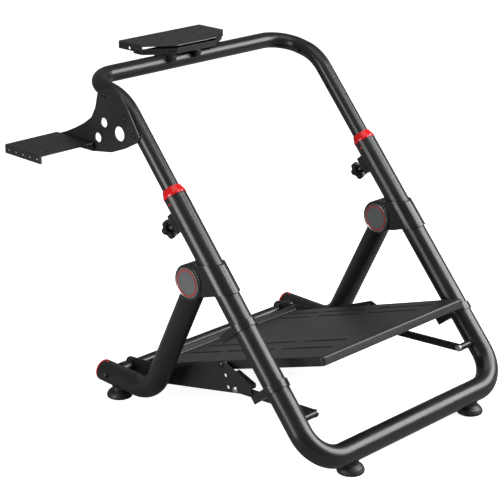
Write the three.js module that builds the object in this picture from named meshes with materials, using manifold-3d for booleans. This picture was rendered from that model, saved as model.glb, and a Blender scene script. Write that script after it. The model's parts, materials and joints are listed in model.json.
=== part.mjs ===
// A foldable tubular stand for a racing wheel, its pedals and a shifter.
// Millimetres. +X is the driver's right, +Y points forward, away from the driver, +Z is up.
// The stand is drawn with y = 0 on the front bar's axis and z = 0 on the floor, and the whole
// group is moved at the end so that its origin is the bottom centre of its bounding box.
import * as THREE from 'three';
import { mergeVertices } from 'three/addons/utils/BufferGeometryUtils.js';
import Module from 'manifold-3d';

const wasm = await Module();
wasm.setup();

// Driving dimensions
const GAP = 0.3; // between pieces that touch
const TUBE_FLATS = 16; // facets round a tube
const LEG_X = 299; // middle plane to each upright's axis
const LOWER_R = 25; // lower frame and leg tubes, outside
const LOWER_BORE = 22.5;
const UPPER_R = 18.5; // height-adjusting upper tube, outside
const UPPER_BORE = 16.5;
const RAKE = THREE.MathUtils.degToRad(41.09); // uprights lean back by this
const LEG_RAKE = THREE.MathUtils.degToRad(26.56); // legs lean back by this
const BAR_Z = 47.7; // height of the front bar's axis
const LOWER_TOP = 631; // length of the lower upright tubes, from the front bar's axis
const UPPER_END = 380; // where the upper tubes end inside the lower ones
const SHOULDER = 872; // where the upright tubes bend into the arms
const CROSSBAR = { y: -690, z: 728 };
const HUB = { y: -346.8, z: 357.5 }; // axis that the legs fold about
const HUB_R = 39.5;
const HUB_HALF = 32; // half the hub housing's width
const LEG_END_Y = -665;
const CROSS = { y: -634, z: 52 }; // axis of the rear cross tube
const PIN = { y: -66.5, z: 122.5 }; // where the struts turn on the uprights
const ELBOW = { y: -292, z: 104 }; // where the struts meet the side plates
const PLATE_HALF = 229.5; // half the pedal plate's width
const PLATE_FRONT = { y: -57, z: 248.5 };
const PLATE_SLOPE = Math.atan(0.3435);
const PLATE_LENGTH = 538;
const TILT = { y: -556, z: 66.5 }; // axis that the pedal plate tilts about
const SIDE_PLATE_X = 242.4; // inner face of each pedal side plate
const SHEET = 3; // steel sheet thickness
const DECK_Z = 769; // top of the wheel deck
const DECK_HINGE = { y: -730, z: 757.5 };
const TRAY_Z = 598; // top of the shifter tray
const SHIFTER_X = LEG_X + UPPER_R + GAP; // inner face of the shifter side plate
const FOOT_R = 29.5;
const CROSS_R = 12.5;
const CROSS_BORE = 10.3;
const BOLT_R = 4; // of the bolts in the pedal deck
const BOLT_HOLE = 4.4;
const STRUT_T = 5; // strut thickness

const X_AXIS = new THREE.Vector3(1, 0, 0);
const SIDES = [[1, 'right'], [-1, 'left']];
const vec = (x, y, z) => new THREE.Vector3(x, y, z);

// A point on an upright's axis, s along it from the front bar, n behind it on the driver's side
function onUpright(side, s, n = 0) {
  const y = -s * Math.sin(RAKE) - n * Math.cos(RAKE);
  const z = BAR_Z + s * Math.cos(RAKE) - n * Math.sin(RAKE);
  return vec(side * LEG_X, y, z);
}

// A rectangle in the YZ plane, from s1 to s2 along an upright and from n1 to n2 behind its axis
function uprightRectangle(s1, s2, n1, n2) {
  const corners = [[s1, n1], [s2, n1], [s2, n2], [s1, n2]].map(([s, n]) => onUpright(1, s, n));
  return corners.map(({ y, z }) => [y, z]);
}

// Solids: closed meshes held by manifold-3d, so that they can be joined and cut

function solid(geometry) {
  const bare = geometry.index ? geometry.toNonIndexed() : geometry;
  bare.deleteAttribute('normal');
  bare.deleteAttribute('uv');
  const merged = mergeVertices(bare, 1e-4);
  const points = merged.attributes.position;
  const index = Uint32Array.from(merged.index.array);
  if (signedVolume(points, index) < 0) index.reverse();
  const vertProperties = Float32Array.from(points.array);
  return new wasm.Manifold(new wasm.Mesh({ numProp: 3, vertProperties, triVerts: index }));
}

function signedVolume(points, index) {
  const corner = [vec(), vec(), vec()];
  let total = 0;
  for (let i = 0; i < index.length; i += 3) {
    corner.forEach((point, k) => point.fromBufferAttribute(points, index[i + k]));
    total += corner[0].dot(corner[1].cross(corner[2]));
  }
  return total;
}

function join(...solids) {
  return solids.reduce((all, next) => all.add(next));
}

function cut(body, ...tools) {
  return tools.reduce((left, tool) => left.subtract(tool), body);
}

function box(low, high) {
  const geometry = new THREE.BoxGeometry(high[0] - low[0], high[1] - low[1], high[2] - low[2]);
  geometry.translate((low[0] + high[0]) / 2, (low[1] + high[1]) / 2, (low[2] + high[2]) / 2);
  return solid(geometry);
}

// A turned piece: profile points are [radius, height] along the line from start towards end
function turned(start, end, profile, segments = 20) {
  const geometry = new THREE.LatheGeometry(profile.map(([r, h]) => new THREE.Vector2(r, h)), segments);
  const direction = end.clone().sub(start).normalize();
  geometry.applyQuaternion(new THREE.Quaternion().setFromUnitVectors(vec(0, 1, 0), direction));
  geometry.translate(start.x, start.y, start.z);
  return solid(geometry);
}

function rod(start, end, radius, segments = 12) {
  const length = start.distanceTo(end);
  return turned(start, end, [[0, 0], [radius, 0], [radius, length], [0, length]], segments);
}

// A rod along X from x1 to x2 at the place { y, z }
function rodX(x1, x2, { y, z }, radius, segments = 12) {
  return rod(vec(x1, y, z), vec(x2, y, z), radius, segments);
}

// A washer along X
function ringX(x1, x2, { y, z }, outer, inner, segments = 20) {
  const length = Math.abs(x2 - x1);
  const profile = [[inner, 0], [outer, 0], [outer, length], [inner, length], [inner, 0]];
  return turned(vec(x1, y, z), vec(x2, y, z), profile, segments);
}

// An outline drawn in the YZ plane, given a thickness from x1 to x2
function slab(outline, x1, x2) {
  const shape = outline instanceof THREE.Shape ? outline : new THREE.Shape(outline.map(yz));
  const options = { depth: x2 - x1, bevelEnabled: false, curveSegments: 7 };
  const geometry = new THREE.ExtrudeGeometry(shape, options);
  const turn = new THREE.Matrix4().makeBasis(vec(0, 1, 0), vec(0, 0, 1), X_AXIS);
  geometry.applyMatrix4(turn);
  geometry.translate(x1, 0, 0);
  return solid(geometry);
}

// The same between two values of x given in either order
function sheetX(outline, xA, xB) {
  return slab(outline, Math.min(xA, xB), Math.max(xA, xB));
}

function yz([y, z]) {
  return new THREE.Vector2(y, z);
}

// A polyline whose corners are rounded by arcs, as stations with a point and a direction
class BentPath extends THREE.Curve {
  constructor(corners, radii) {
    super();
    this.stations = [];
    corners.forEach((corner, i) => {
      if (i === 0 || i === corners.length - 1) {
        const [from, to] = i === 0 ? [corners[0], corners[1]] : [corners[i - 1], corner];
        this.stations.push({ point: corner, direction: to.clone().sub(from).normalize() });
      } else {
        this.addBend(corners[i - 1], corner, corners[i + 1], radii[i - 1]);
      }
    });
  }

  addBend(before, corner, after, radius) {
    const from = corner.clone().sub(before).normalize();
    const to = after.clone().sub(corner).normalize();
    const angle = from.angleTo(to);
    const axis = from.clone().cross(to).normalize();
    const inward = axis.clone().cross(from);
    const start = corner.clone().addScaledVector(from, -radius * Math.tan(angle / 2));
    const centre = start.clone().addScaledVector(inward, radius);
    const steps = Math.ceil(angle / 0.35);
    for (let k = 0; k <= steps; k++) {
      const turn = angle * k / steps;
      const point = start.clone().sub(centre).applyAxisAngle(axis, turn).add(centre);
      this.stations.push({ point, direction: from.clone().applyAxisAngle(axis, turn) });
    }
  }

  stationAt(u) {
    return this.stations[Math.round(u * (this.stations.length - 1))];
  }

  getPointAt(u, target = vec()) {
    return target.copy(this.stationAt(u).point);
  }

  getTangentAt(u, target = vec()) {
    return target.copy(this.stationAt(u).direction);
  }
}

// The corners of a faceted bore stand out this far, so that its flats clear the stated radius
function cornerRadius(bore) {
  return bore / Math.cos(Math.PI / TUBE_FLATS);
}

// A bar along a bent path, or a tube if it has a bore
function bar(path, radius, bore = 0) {
  const section = new THREE.Shape().absarc(0, 0, radius, 0, 2 * Math.PI);
  if (bore > 0) section.holes.push(new THREE.Path().absarc(0, 0, cornerRadius(bore), 0, 2 * Math.PI));
  const steps = path.stations.length - 1;
  const options = { steps, extrudePath: path, curveSegments: TUBE_FLATS / 2 };
  return solid(new THREE.ExtrudeGeometry(section, options));
}

// Materials

const finish = (color, roughness, metalness) => ({ color, roughness, metalness });
const BLACK_PAINT = finish(0x1b1b1c, 0.45, 0.3);
const RED_PLASTIC = finish(0xd01818, 0.25, 0);
const GREY_CAP = finish(0x6f7072, 0.4, 0.6);
const ZINC = finish(0xb9bbbd, 0.35, 0.9);
const BLACK_PLASTIC = finish(0x161616, 0.55, 0);
const RUBBER = finish(0x121212, 0.85, 0);
const BLACK_STEEL = finish(0x202022, 0.35, 0.8);

const stand = new THREE.Group();

function place(name, body, look) {
  const { vertProperties, triVerts } = body.getMesh();
  const geometry = new THREE.BufferGeometry();
  geometry.setAttribute('position', new THREE.BufferAttribute(vertProperties, 3));
  geometry.setIndex(new THREE.BufferAttribute(triVerts, 1));
  const mesh = new THREE.Mesh(geometry, new THREE.MeshStandardMaterial(look));
  mesh.name = name;
  stand.add(mesh);
}

// Lower frame: one tube bent into a U, with holes for the collars' snaps, knobs and strut pins

const SNAP_S = 616.5;
const KNOB_S = 585;
const LOW_CLIP_S = 180;
const HIGH_CLIP_S = 322;

function lowerFrame() {
  const corners = [[1, LOWER_TOP], [1, 0], [-1, 0], [-1, LOWER_TOP]].map(([side, s]) => onUpright(side, s));
  let body = bar(new BentPath(corners, [75, 75]), LOWER_R, LOWER_BORE);
  for (const [side] of SIDES) {
    const snap = onUpright(side, SNAP_S);
    body = cut(body, rodX(snap.x - 30, snap.x + 30, snap, 3.2, 8));
    body = cut(body, rod(onUpright(side, KNOB_S), onUpright(side, KNOB_S, 30), 5.2, 10));
    body = cut(body, rodX(side * (LEG_X - 30), side * LEG_X, PIN, 5.3, 10));
  }
  place('lower_frame_tube', body, BLACK_PAINT);
}

// A red collar: a sleeve inside the lower tube's mouth, two snaps, and a cone above the mouth
function collar(side, name) {
  const bottom = onUpright(side, SNAP_S - 12);
  const top = onUpright(side, SNAP_S);
  const sleeve = LOWER_BORE - GAP;
  const bore = UPPER_R + GAP;
  const mouth = LOWER_TOP + GAP - (SNAP_S - 12);
  const brim = LOWER_R + 0.6;
  const profile = [[bore, 0], [sleeve, 0], [sleeve, mouth], [brim, mouth], [brim, mouth + 4],
    [UPPER_R + 2.2, mouth + 19], [bore, mouth + 19], [bore, 0]];
  const snaps = rodX(top.x - LOWER_R - 1, top.x + LOWER_R + 1, top, 2.8, 8);
  const core = rod(bottom, onUpright(side, LOWER_TOP + 30), bore + 1, 24);
  const body = join(turned(bottom, top, profile, 28), cut(snaps, core));
  place(`collar_${name}`, body, RED_PLASTIC);
}

// The black block behind each upright that the clamp knob screws into
function knobBoss(side, name) {
  const half = 21;
  const axis = onUpright(side, KNOB_S);
  const outline = uprightRectangle(KNOB_S - half, KNOB_S + half, LOWER_R - 6, LOWER_R + 12.5);
  const block = slab(outline, axis.x - 15, axis.x + 15);
  const tube = rod(onUpright(side, KNOB_S - 40), onUpright(side, KNOB_S + 40), LOWER_R + GAP, 28);
  const screw = rod(axis, onUpright(side, KNOB_S, 60), 4.6, 16);
  place(`knob_boss_${name}`, cut(block, tube, screw), BLACK_PLASTIC);
}

function clampKnob(side, name) {
  const start = onUpright(side, KNOB_S, 38.5);
  const end = onUpright(side, KNOB_S, 69);
  const hub = turned(start, end, [[0, 0], [8, 0], [8, 15], [15, 17], [15, 30.5], [0, 30.5]], 10);
  const axis = end.clone().sub(start).normalize();
  const lobeProfile = [[0, 0], [7, 0], [8, 2], [8, 13], [6, 15], [0, 15]];
  const lobes = Array.from({ length: 5 }, (_, i) => {
    const across = X_AXIS.clone().applyAxisAngle(axis, i * 2 * Math.PI / 5).multiplyScalar(14.5);
    const foot = onUpright(side, KNOB_S, 54).add(across);
    return turned(foot, foot.clone().add(axis), lobeProfile, 8);
  });
  const hole = rod(onUpright(side, KNOB_S, 30), onUpright(side, KNOB_S, 58), 4.3, 16);
  place(`clamp_knob_${name}`, cut(join(hub, ...lobes), hole), BLACK_PLASTIC);
  const screw = rod(onUpright(side, KNOB_S, UPPER_R + GAP), onUpright(side, KNOB_S, 57.5), 4, 16);
  place(`clamp_screw_${name}`, screw, ZINC);
}

// Hinge brackets: a sleeve round each upright, and a housing whose slot holds the leg's round top

function sleeveOutline() {
  const outline = new THREE.Shape();
  outline.moveTo(-225, 361);
  outline.lineTo(-241.6, 356.6);
  outline.lineTo(-300, 336.7);
  outline.absarc(HUB.y, HUB.z, HUB_R, -0.61, 1.4 - 2 * Math.PI, true);
  outline.lineTo(-308, 404.8);
  outline.lineTo(-289, 408);
  outline.lineTo(-225, 407);
  return outline;
}

// The room that the leg's top needs: a round pocket, and the fan that the leg sweeps as it folds
function legFan() {
  const pocket = LOWER_R + 1;
  const reach = 150;
  const opened = -Math.PI / 2 - LEG_RAKE;
  const folded = -Math.PI / 2 + RAKE;
  const fan = new THREE.Shape();
  fan.absarc(HUB.y, HUB.z, pocket, folded + Math.PI / 2, opened - Math.PI / 2 + 2 * Math.PI, false);
  for (const angle of [opened, folded]) {
    const across = angle === opened ? -pocket : pocket;
    fan.lineTo(
      HUB.y + reach * Math.cos(angle) - across * Math.sin(angle),
      HUB.z + reach * Math.sin(angle) + across * Math.cos(angle),
    );
  }
  return fan;
}

function hingeBracket(side, name) {
  const x = side * LEG_X;
  const sleeve = rod(onUpright(side, 300), onUpright(side, 520), LOWER_R + 4, 28);
  const slabRegion = slab(uprightRectangle(300, 520, 0, 150), x - LOWER_R - 4, x + LOWER_R + 4);
  const plate = slab(sleeveOutline(), x - 40, x + 40).intersect(join(sleeve, slabRegion));
  const housing = rodX(x - HUB_HALF, x + HUB_HALF, HUB, HUB_R, 28);
  const tube = rod(onUpright(side, 280), onUpright(side, 540), LOWER_R + GAP, 28);
  const slot = slab(legFan(), x - LOWER_R - 0.8, x + LOWER_R + 0.8);
  const bore = rodX(x - 40, x + 40, HUB, 6.3);
  place(`hinge_bracket_${name}`, cut(join(plate, housing), tube, slot, bore), BLACK_PAINT);
}

// The hinge's axle carries a wide grey cap at each end, with a thin red ring on each cap
function hingeAxle(side, name) {
  const x = side * LEG_X;
  const face = HUB_HALF + GAP;
  const pieces = [rodX(x - face, x + face, HUB, 6)];
  for (const [out, where] of [[side, 'outer'], [-side, 'inner']]) {
    pieces.push(rodX(x + out * face, x + out * (face + 1.2), HUB, 34, 28));
    pieces.push(rodX(x + out * face, x + out * (face + 2), HUB, 25.7, 28));
    const ring = ringX(x + out * (face + 1.5), x + out * (face + 2.3), HUB, 30, 26.4);
    place(`hinge_ring_${name}_${where}`, ring, RED_PLASTIC);
  }
  place(`hinge_axle_${name}`, join(...pieces), GREY_CAP);
}

// A storage clip: a band round the upright and two jaws that hold the folded leg
function storageClip(side, s, name) {
  const half = 8.5;
  const reach = 52; // of the jaws, behind the upright's axis
  const x = side * LEG_X;
  const band = rod(onUpright(side, s - half), onUpright(side, s + half), LOWER_R + 3.4, 28);
  const jaws = slab(uprightRectangle(s - half, s + half, 0, reach), x - FOOT_R, x + FOOT_R);
  const tube = rod(onUpright(side, s - 20), onUpright(side, s + 20), LOWER_R + GAP, 28);
  const mouth = uprightRectangle(s - 20, s + 20, 31.5, reach + 16);
  const opening = slab(mouth, x - LOWER_R - 1, x + LOWER_R + 1);
  place(`storage_clip_${name}`, cut(join(band, jaws), tube, opening), BLACK_PLASTIC);
}

function clipScrew(side, name) {
  const s = LOW_CLIP_S + 17;
  const plate = rod(onUpright(side, s, LOWER_R + GAP), onUpright(side, s, LOWER_R + 2), 8, 16);
  const head = rod(onUpright(side, s, LOWER_R + 1), onUpright(side, s, LOWER_R + 5), 4.5, 12);
  place(`bumper_screw_${name}`, join(plate, head), ZINC);
}

// A rubber foot: a dome with a saddle under the tube
function foot(name, at, tubeStart, tubeEnd) {
  const profile = [[0, 0], [27, 0], [FOOT_R, 3], [FOOT_R, 7], [26, 13], [17, 19], [16, 29], [0, 29]];
  const dome = turned(vec(at.x, at.y, 0), vec(at.x, at.y, 10), profile, 18);
  place(name, cut(dome, rod(tubeStart, tubeEnd, LOWER_R + GAP, 28)), RUBBER);
}

function frontFeet() {
  for (const [side, name] of SIDES) {
    const at = vec(side * 199, 0, BAR_Z);
    foot(`front_foot_${name}`, at, at.clone().add(vec(-60, 0, 0)), at.clone().add(vec(60, 0, 0)));
  }
}

// Upper frame: the height-adjusting tube, bent into a U whose crossbar carries the wheel deck

function upperFrame() {
  const corners = [];
  for (const side of [1, -1]) {
    const corner = vec(side * LEG_X, CROSSBAR.y, CROSSBAR.z);
    const arm = [onUpright(side, UPPER_END), onUpright(side, SHOULDER), corner];
    corners.push(...(side > 0 ? arm : arm.reverse()));
  }
  let body = bar(new BentPath(corners, [110, 65, 65, 110]), UPPER_R, UPPER_BORE);
  for (const bolt of SHIFTER_BOLTS) body = cut(body, rodX(-LEG_X - 30, LEG_X + 30, bolt, 3.6, 8));
  place('upper_frame_tube', body, BLACK_PAINT);
  for (const [side, name] of SIDES) {
    const profile = [[UPPER_R + GAP, 0], [LOWER_BORE - GAP, 0], [LOWER_BORE - GAP, 25], [UPPER_R + GAP, 25],
      [UPPER_R + GAP, 0]];
    const bushing = turned(onUpright(side, UPPER_END + 5), onUpright(side, UPPER_END + 30), profile, 24);
    place(`slide_bushing_${name}`, bushing, BLACK_PLASTIC);
  }
}

// Shifter mount: a side plate bolted through the right-hand arm, and a tray bolted to the plate

const SHIFTER_BOLTS = [{ y: -612, z: 709 }, { y: -548, z: 668 }, { y: -520, z: 637 }];
const TRAY = { x1: 323.5, x2: 468, y1: -775, y2: -647 };
const TRAY_BOLTS = [{ y: -664, z: TRAY_Z - 11 }, { y: -700, z: TRAY_Z - 11 }];

function shifterSidePlate() {
  const outline = new THREE.Shape([[-770, 595], [-770, 584], [-690, 575], [-656, 578], [-592, 587],
    [-549, 603], [-506, 625], [-500, 637], [-535, 690], [-562, 720], [-592, 726], [-628, 714],
    [-634, 709]].map(yz));
  outline.bezierCurveTo(-642, 672, -668, 640, -700, 625);
  outline.bezierCurveTo(-725, 612, -750, 602, -770, 595);
  for (const [y, z, r] of [[-615, 648, 10.5], [-636.5, 611, 10.5], [-565, 633, 16]]) {
    outline.holes.push(new THREE.Path().absarc(y, z, r, 0, 2 * Math.PI));
  }
  const drills = [...SHIFTER_BOLTS, ...TRAY_BOLTS].map((at) => rodX(300, 340, at, 4.3, 8));
  place('shifter_side_plate', cut(slab(outline, SHIFTER_X, SHIFTER_X + SHEET), ...drills), BLACK_PAINT);
}

// A bolt along X with a round head outside headX and a hexagonal nut outside nutX
function bolt(headX, nutX, at, shank = 3.3, head = 6.5) {
  const out = Math.sign(headX - nutX);
  return join(
    rodX(nutX - out * 4, headX, at, shank, 8),
    rodX(headX, headX + out * 4, at, head, 10),
    rodX(nutX - out * 5, nutX, at, head, 6),
  );
}

function shifterMount() {
  shifterSidePlate();
  SHIFTER_BOLTS.forEach((at, i) => {
    const body = bolt(SHIFTER_X + SHEET + GAP, LEG_X - UPPER_R - GAP, at);
    place(`shifter_plate_bolt_${i + 1}`, body, BLACK_STEEL);
  });
  const middle = { x: (TRAY.x1 + TRAY.x2) / 2, y: (TRAY.y1 + TRAY.y2) / 2 };
  const holes = [-46, -15, 15, 46].flatMap((dy) => [-43, 43].map((dx) => [middle.x + dx, middle.y + dy]));
  const tray = cut(
    box([TRAY.x1, TRAY.y1, TRAY_Z - 19], [TRAY.x2, TRAY.y2, TRAY_Z]),
    box([TRAY.x1 + SHEET, TRAY.y1 - 5, TRAY_Z - 30], [TRAY.x2 - SHEET, TRAY.y2 + 5, TRAY_Z - SHEET]),
    ...holes.map(([x, y]) => rod(vec(x, y, TRAY_Z - 10), vec(x, y, TRAY_Z + 5), 3, 8)),
    ...TRAY_BOLTS.map((at) => rodX(300, 340, at, 4.3, 8)),
  );
  place('shifter_tray', tray, BLACK_PAINT);
  TRAY_BOLTS.forEach((at, i) => {
    const body = bolt(TRAY.x1 + SHEET + GAP, SHIFTER_X - GAP, at);
    place(`tray_bolt_${i + 1}`, body, BLACK_STEEL);
  });
}

// Wheel deck: a bracket on the crossbar, and a drilled plate that tilts on two bolts

const DECK_HALF = 127;
const EAR_X = DECK_HALF - SHEET - GAP; // outer face of the bracket's ears

// A shape drawn in the XY plane, given a height from z1 to z2
function upright(shape, z1, z2) {
  const geometry = new THREE.ExtrudeGeometry(shape, { depth: z2 - z1, bevelEnabled: false });
  geometry.translate(0, 0, z1);
  return solid(geometry);
}

// A rectangle whose front corners are cut off, as seen from above
function chamferedOutline(side, back, shoulder, front, frontHalf) {
  const corners = [[-side, back], [side, back], [side, shoulder], [frontHalf, front], [-frontHalf, front],
    [-side, shoulder]];
  return new THREE.Shape(corners.map(([x, y]) => new THREE.Vector2(x, y)));
}

function bracketOutline(inset, back) {
  const chamfer = inset * 0.6;
  return chamferedOutline(EAR_X - inset, back, -712 - chamfer, -667 - inset, 59 - chamfer);
}

function deckOutline(inset) {
  const chamfer = inset * 0.6;
  return chamferedOutline(DECK_HALF - inset, -793 + inset, -710 - chamfer, -664 - inset, 61 - chamfer);
}

function deckBracket() {
  const floor = CROSSBAR.z + UPPER_R + GAP;
  const plate = upright(bracketOutline(0, -746), floor, floor + SHEET);
  const wall = cut(
    upright(bracketOutline(0, -746), floor, DECK_Z - 9),
    upright(bracketOutline(SHEET, -760), floor - 5, DECK_Z),
  );
  const top = DECK_Z - 5;
  const earOutline = [[-762, floor], [-714, floor], [-714, top], [-738, top], [-760, top - 7]];
  const ears = SIDES.map(([side]) => sheetX(earOutline, side * (EAR_X - SHEET), side * EAR_X));
  const saddles = [-75, 0, 75].map((x) => {
    const rib = [[-725, floor + 1], [-655, floor + 1], [-662, CROSSBAR.z + 4], [-718, CROSSBAR.z + 4]];
    return slab(rib, x - 6, x + 6);
  });
  const tube = rodX(-200, 200, CROSSBAR, UPPER_R + GAP, 28);
  const bores = rodX(-200, 200, DECK_HINGE, 4.3, 8);
  place('deck_bracket', cut(join(plate, wall, ...ears, ...saddles), tube, bores), BLACK_PAINT);
}

function wheelDeck() {
  const pan = upright(deckOutline(0), DECK_Z - 17, DECK_Z);
  const hollow = upright(deckOutline(SHEET), DECK_Z - SHEET - 40, DECK_Z - SHEET);
  const openFront = box([-DECK_HALF - 5, -712, DECK_Z - 40], [DECK_HALF + 5, -600, DECK_Z - SHEET]);
  const drills = [[50, -731], [55, -695], [80, -770], [80, -748], [30, -770], [30, -690], [100, -760]]
    .flatMap(([x, y]) => [vec(x, y, DECK_Z - 10), vec(-x, y, DECK_Z - 10)])
    .map((at) => rod(at, at.clone().add(vec(0, 0, 20)), 3, 8));
  const bores = [DECK_HINGE, { y: -753, z: DECK_HINGE.z }].map((at) => rodX(-200, 200, at, 4.3, 8));
  place('wheel_deck', cut(pan, hollow, openFront, ...drills, ...bores), BLACK_PAINT);
  for (const [side, name] of SIDES) {
    const body = bolt(side * (DECK_HALF + GAP), side * (EAR_X - SHEET - GAP), DECK_HINGE);
    place(`deck_hinge_bolt_${name}`, body, BLACK_STEEL);
  }
}

// Legs: bent tubes with a round top, an end plug, a foot and one cross tube between them

function legDirection() {
  return vec(0, -Math.sin(LEG_RAKE), -Math.cos(LEG_RAKE));
}

function legPath(side, start) {
  const hub = vec(side * LEG_X, HUB.y, HUB.z);
  const drop = (HUB.z - BAR_Z) / Math.cos(LEG_RAKE);
  const corner = hub.clone().addScaledVector(legDirection(), drop);
  const top = hub.clone().addScaledVector(legDirection(), start);
  return new BentPath([top, corner, vec(side * LEG_X, LEG_END_Y, BAR_Z)], [80]);
}

function leg(side, name) {
  const x = side * LEG_X;
  const hub = vec(x, HUB.y, HUB.z);
  const above = hub.clone().addScaledVector(legDirection(), -40);
  const below = hub.clone().addScaledVector(legDirection(), 45);
  const knuckle = rodX(x - 25, x + 25, HUB, LOWER_R, 28).intersect(rod(above, below, LOWER_R, 28));
  const core = bar(legPath(side, 32), cornerRadius(LOWER_BORE));
  const end = rod(vec(x, LEG_END_Y + 5, BAR_Z), vec(x, LEG_END_Y - 5, BAR_Z), LOWER_BORE + GAP, 24);
  const body = cut(
    join(bar(legPath(side, 5), LOWER_R), knuckle), core, end,
    rodX(x - 40, x + 40, HUB, 6.3),
    rodX(x - 40, x + 40, CROSS, 4.4, 8),
    rod(vec(x, LEG_END_Y + 10, BAR_Z), vec(x, LEG_END_Y + 10, BAR_Z + 30), 3.2, 8),
  );
  place(`leg_tube_${name}`, body, BLACK_PAINT);
}

function legPlug(side, name) {
  const x = side * LEG_X;
  const plug = turned(vec(x, LEG_END_Y + 20, BAR_Z), vec(x, LEG_END_Y, BAR_Z), [[0, 8], [LOWER_BORE - 4, 8],
    [LOWER_BORE - 4, 0], [LOWER_BORE - GAP, 0], [LOWER_BORE - GAP, 20 + GAP], [LOWER_R, 20 + GAP],
    [LOWER_R, 24], [LOWER_R - 2, 25], [0, 25]], 28);
  const snap = rod(vec(x, LEG_END_Y + 10, BAR_Z + 19), vec(x, LEG_END_Y + 10, BAR_Z + LOWER_R + 1), 2.8, 8);
  place(`leg_plug_${name}`, join(plug, snap), RED_PLASTIC);
}

function crossTube() {
  const inner = LEG_X - LOWER_R;
  const sockets = SIDES.map(([side]) => rodX(side * (inner + 4), side * (inner - 18), CROSS, 16));
  const room = SIDES.map(([side]) => {
    const x = side * LEG_X;
    return rod(vec(x, CROSS.y + 74, BAR_Z), vec(x, CROSS.y - 46, BAR_Z), LOWER_R + GAP, 28);
  });
  const tube = join(rodX(-inner - 3, inner + 3, CROSS, CROSS_R), ...sockets);
  place('cross_tube', cut(tube, rodX(-400, 400, CROSS, CROSS_BORE), ...room), BLACK_PAINT);
  for (const [side, name] of SIDES) {
    const outer = side * (LEG_X + LOWER_R + GAP);
    const body = join(
      rodX(side * (inner - 14), outer, CROSS, 4, 8),
      rodX(outer, outer + side * 5, CROSS, 7.5, 6),
    );
    place(`leg_bolt_${name}`, body, BLACK_STEEL);
  }
}

function legs() {
  for (const [side, name] of SIDES) {
    leg(side, name);
    legPlug(side, name);
    const at = vec(side * LEG_X, -615.5, BAR_Z);
    foot(`rear_foot_${name}`, at, at.clone().add(vec(0, -48, 0)), at.clone().add(vec(0, 40, 0)));
  }
  crossTube();
}

// Pedal deck: two side plates on the cross tube, the tilting pedal plate between them, two struts

const PLATE_BOLT = { y: -337, z: 148.2 };
const TILT_HOLES = [{ y: -323.7, z: 126.8 }, { y: -315.8, z: 101.4 }];

function sidePlateOutline() {
  const outline = new THREE.Shape();
  outline.absarc(CROSS.y, CROSS.z, 22, Math.PI / 2, 3 * Math.PI / 2, false);
  const corners = [[-574, 36], [-511.5, 45.3], [-244, 106], [-244, 129.3], [-331, 158.4], [-335.5, 159.3],
    [-489, 94], [-574, 80]];
  corners.forEach(([y, z]) => outline.lineTo(y, z));
  return outline;
}

function pedalSidePlate(side, name) {
  const outer = SIDE_PLATE_X + SHEET;
  const plate = sheetX(sidePlateOutline(), side * SIDE_PLATE_X, side * outer);
  const front = -244;
  const flangeOutline = [[-294, 146], [front - 3, 130.3], [front, 129.3], [front, 119.5], [front - 3, 119.5],
    [front - 3, 127], [-295, 143]];
  const flange = sheetX(flangeOutline, side * (PLATE_HALF + 1.5), side * outer);
  const holes = [ELBOW, PLATE_BOLT, ...TILT_HOLES, TILT];
  const drills = holes.map((at) => rodX(side * 200, side * 260, at, BOLT_HOLE, 8));
  const bore = rodX(side * 200, side * 260, CROSS, CROSS_R + GAP, 24);
  place(`pedal_side_plate_${name}`, cut(join(plate, flange), ...drills, bore), BLACK_PAINT);
}

function pedalBolts(side, name) {
  const outer = side * (SIDE_PLATE_X + SHEET + GAP);
  const nut = SIDE_PLATE_X - STRUT_T - 2 * GAP;
  const elbow = join(
    rodX(side * nut, outer, ELBOW, BOLT_R, 8),
    rodX(side * (nut - 3.5), side * nut, ELBOW, 7.5, 6),
    rodX(outer, outer + side * 4.5, ELBOW, 8, 6),
  );
  place(`elbow_bolt_${name}`, elbow, ZINC);
  const height = join(
    rodX(side * (PLATE_HALF + GAP), outer, PLATE_BOLT, BOLT_R, 8),
    rodX(outer, outer + side * 4.5, PLATE_BOLT, 8, 16),
  );
  place(`tilt_bolt_${name}`, height, BLACK_STEEL);
  const pivot = join(
    rodX(side * (PLATE_HALF - SHEET - 4), outer, TILT, BOLT_R, 8),
    rodX(side * (PLATE_HALF + GAP), side * (SIDE_PLATE_X - GAP), TILT, 8, 16),
    rodX(outer, outer + side * 4.5, TILT, 8, 16),
  );
  place(`tilt_pivot_bolt_${name}`, pivot, BLACK_STEEL);
}

// Slots in the pedal plate: x of each row, then the ends of its slots behind the front edge
const PEDAL_SLOTS = [
  [149, [[48, 205], [225, 384], [400, 520]]],
  [92, [[60, 190], [215, 345], [385, 510]]],
  [-143, [[60, 215], [240, 380], [400, 510]]],
  [-184, [[48, 215], [255, 395], [415, 520]]],
];

function slotPath(x, near, far) {
  const half = 3.5;
  const path = new THREE.Path();
  path.absarc(x, -near - half, half, 0, Math.PI, false);
  path.absarc(x, -far + half, half, Math.PI, 2 * Math.PI, false);
  path.closePath();
  return path;
}

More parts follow.
